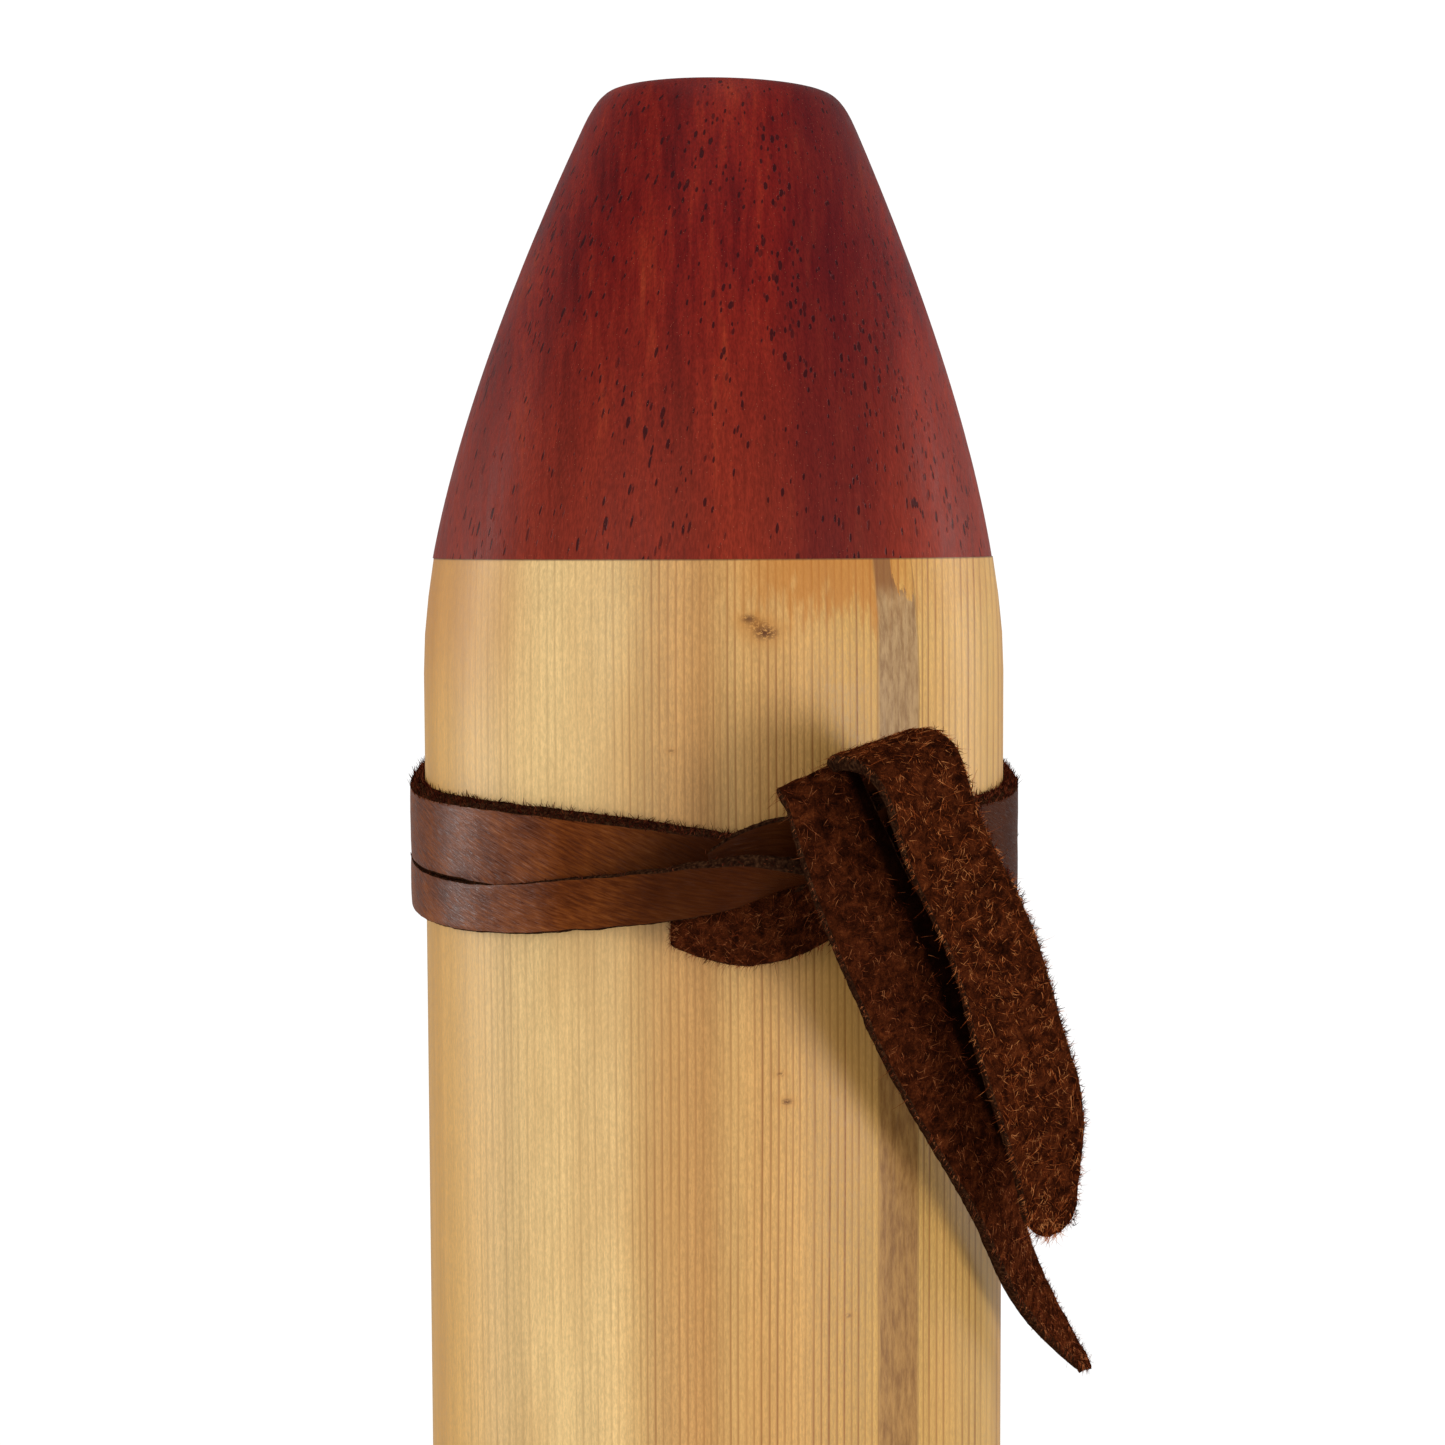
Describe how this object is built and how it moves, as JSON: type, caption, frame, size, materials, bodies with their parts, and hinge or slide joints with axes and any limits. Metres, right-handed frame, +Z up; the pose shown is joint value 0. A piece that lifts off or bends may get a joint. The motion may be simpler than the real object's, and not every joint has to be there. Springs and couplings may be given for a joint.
{
  "type": "rainstick",
  "caption": "Upright wooden rainstick: a closed tube with tapered hardwood caps, inner baffle pins, falling pebbles and a knotted leather lace near the top.",
  "frame": {"origin": "centre of the bottom cap's flat end face, on the surface the stick stands on", "axes": "+Z up along the stick towards the laced end; -Y is the front, where the lace is knotted; +X is the side that the lace tails hang on"},
  "size_m": [0.0618, 0.0642, 0.4002],
  "materials": {
    "softwood_tube": "honey-blond straight-grained softwood, fine growth-ring lines, satin oil finish",
    "red_hardwood": "dark red-brown turned hardwood with streaks and short dark pores, satin",
    "pin_wood": "pale hardwood dowel, unfinished",
    "pebble": "small rounded gravel, matt",
    "lace_leather": "brown leather lace, smooth grain side and fuzzy flesh side"
  },
  "bodies": {
    "stick": {"back_right_shell": "softwood_tube", "front_left_shell": "softwood_tube", "bottom_cap": "red_hardwood", "top_cap": "red_hardwood", "baffle_pin_01": "pin_wood", "baffle_pin_02": "pin_wood", "baffle_pin_03": "pin_wood", "baffle_pin_04": "pin_wood", "baffle_pin_05": "pin_wood", "baffle_pin_06": "pin_wood", "baffle_pin_07": "pin_wood", "baffle_pin_08": "pin_wood", "baffle_pin_09": "pin_wood", "baffle_pin_10": "pin_wood", "baffle_pin_11": "pin_wood", "baffle_pin_12": "pin_wood", "baffle_pin_13": "pin_wood", "baffle_pin_14": "pin_wood", "baffle_pin_15": "pin_wood", "baffle_pin_16": "pin_wood", "baffle_pin_17": "pin_wood", "baffle_pin_18": "pin_wood", "baffle_pin_19": "pin_wood", "baffle_pin_20": "pin_wood", "baffle_pin_21": "pin_wood", "baffle_pin_22": "pin_wood", "baffle_pin_23": "pin_wood", "baffle_pin_24": "pin_wood", "baffle_pin_25": "pin_wood", "baffle_pin_26": "pin_wood", "baffle_pin_27": "pin_wood", "baffle_pin_28": "pin_wood", "baffle_pin_29": "pin_wood", "baffle_pin_30": "pin_wood", "baffle_pin_31": "pin_wood", "baffle_pin_32": "pin_wood", "baffle_pin_33": "pin_wood", "baffle_pin_34": "pin_wood", "baffle_pin_35": "pin_wood", "baffle_pin_36": "pin_wood", "lace_back_tail": "lace_leather", "lace_front_tail": "lace_leather", "lace_knot": "lace_leather", "lace_lower_turn": "lace_leather", "lace_upper_turn": "lace_leather"},
    "pebbles_01": {"pebbles_01": "pebble"},
    "pebbles_02": {"pebbles_02": "pebble"},
    "pebbles_03": {"pebbles_03": "pebble"},
    "pebbles_04": {"pebbles_04": "pebble"},
    "pebbles_05": {"pebbles_05": "pebble"},
    "pebbles_06": {"pebbles_06": "pebble"},
    "pebbles_07": {"pebbles_07": "pebble"},
    "pebbles_08": {"pebbles_08": "pebble"},
    "pebbles_09": {"pebbles_09": "pebble"},
    "pebbles_10": {"pebbles_10": "pebble"},
    "pebbles_11": {"pebbles_11": "pebble"},
    "pebbles_12": {"pebbles_12": "pebble"}
  },
  "joints": [
    {"name": "pebbles_01_fall", "type": "slide", "parent": "stick", "child": "pebbles_01", "axis": [0, 0, 1], "range_m": [0, 0.2699]},
    {"name": "pebbles_02_fall", "type": "slide", "parent": "stick", "child": "pebbles_02", "axis": [0, 0, 1], "range_m": [0, 0.2699]},
    {"name": "pebbles_03_fall", "type": "slide", "parent": "stick", "child": "pebbles_03", "axis": [0, 0, 1], "range_m": [0, 0.2699]},
    {"name": "pebbles_04_fall", "type": "slide", "parent": "stick", "child": "pebbles_04", "axis": [0, 0, 1], "range_m": [0, 0.2699]},
    {"name": "pebbles_05_fall", "type": "slide", "parent": "stick", "child": "pebbles_05", "axis": [0, 0, 1], "range_m": [0, 0.2699]},
    {"name": "pebbles_06_fall", "type": "slide", "parent": "stick", "child": "pebbles_06", "axis": [0, 0, 1], "range_m": [0, 0.2699]},
    {"name": "pebbles_07_fall", "type": "slide", "parent": "stick", "child": "pebbles_07", "axis": [0, 0, 1], "range_m": [0, 0.2699]},
    {"name": "pebbles_08_fall", "type": "slide", "parent": "stick", "child": "pebbles_08", "axis": [0, 0, 1], "range_m": [0, 0.2699]},
    {"name": "pebbles_09_fall", "type": "slide", "parent": "stick", "child": "pebbles_09", "axis": [0, 0, 1], "range_m": [0, 0.2699]},
    {"name": "pebbles_10_fall", "type": "slide", "parent": "stick", "child": "pebbles_10", "axis": [0, 0, 1], "range_m": [0, 0.2699]},
    {"name": "pebbles_11_fall", "type": "slide", "parent": "stick", "child": "pebbles_11", "axis": [0, 0, 1], "range_m": [0, 0.2699]},
    {"name": "pebbles_12_fall", "type": "slide", "parent": "stick", "child": "pebbles_12", "axis": [0, 0, 1], "range_m": [0, 0.2699]}
  ]
}
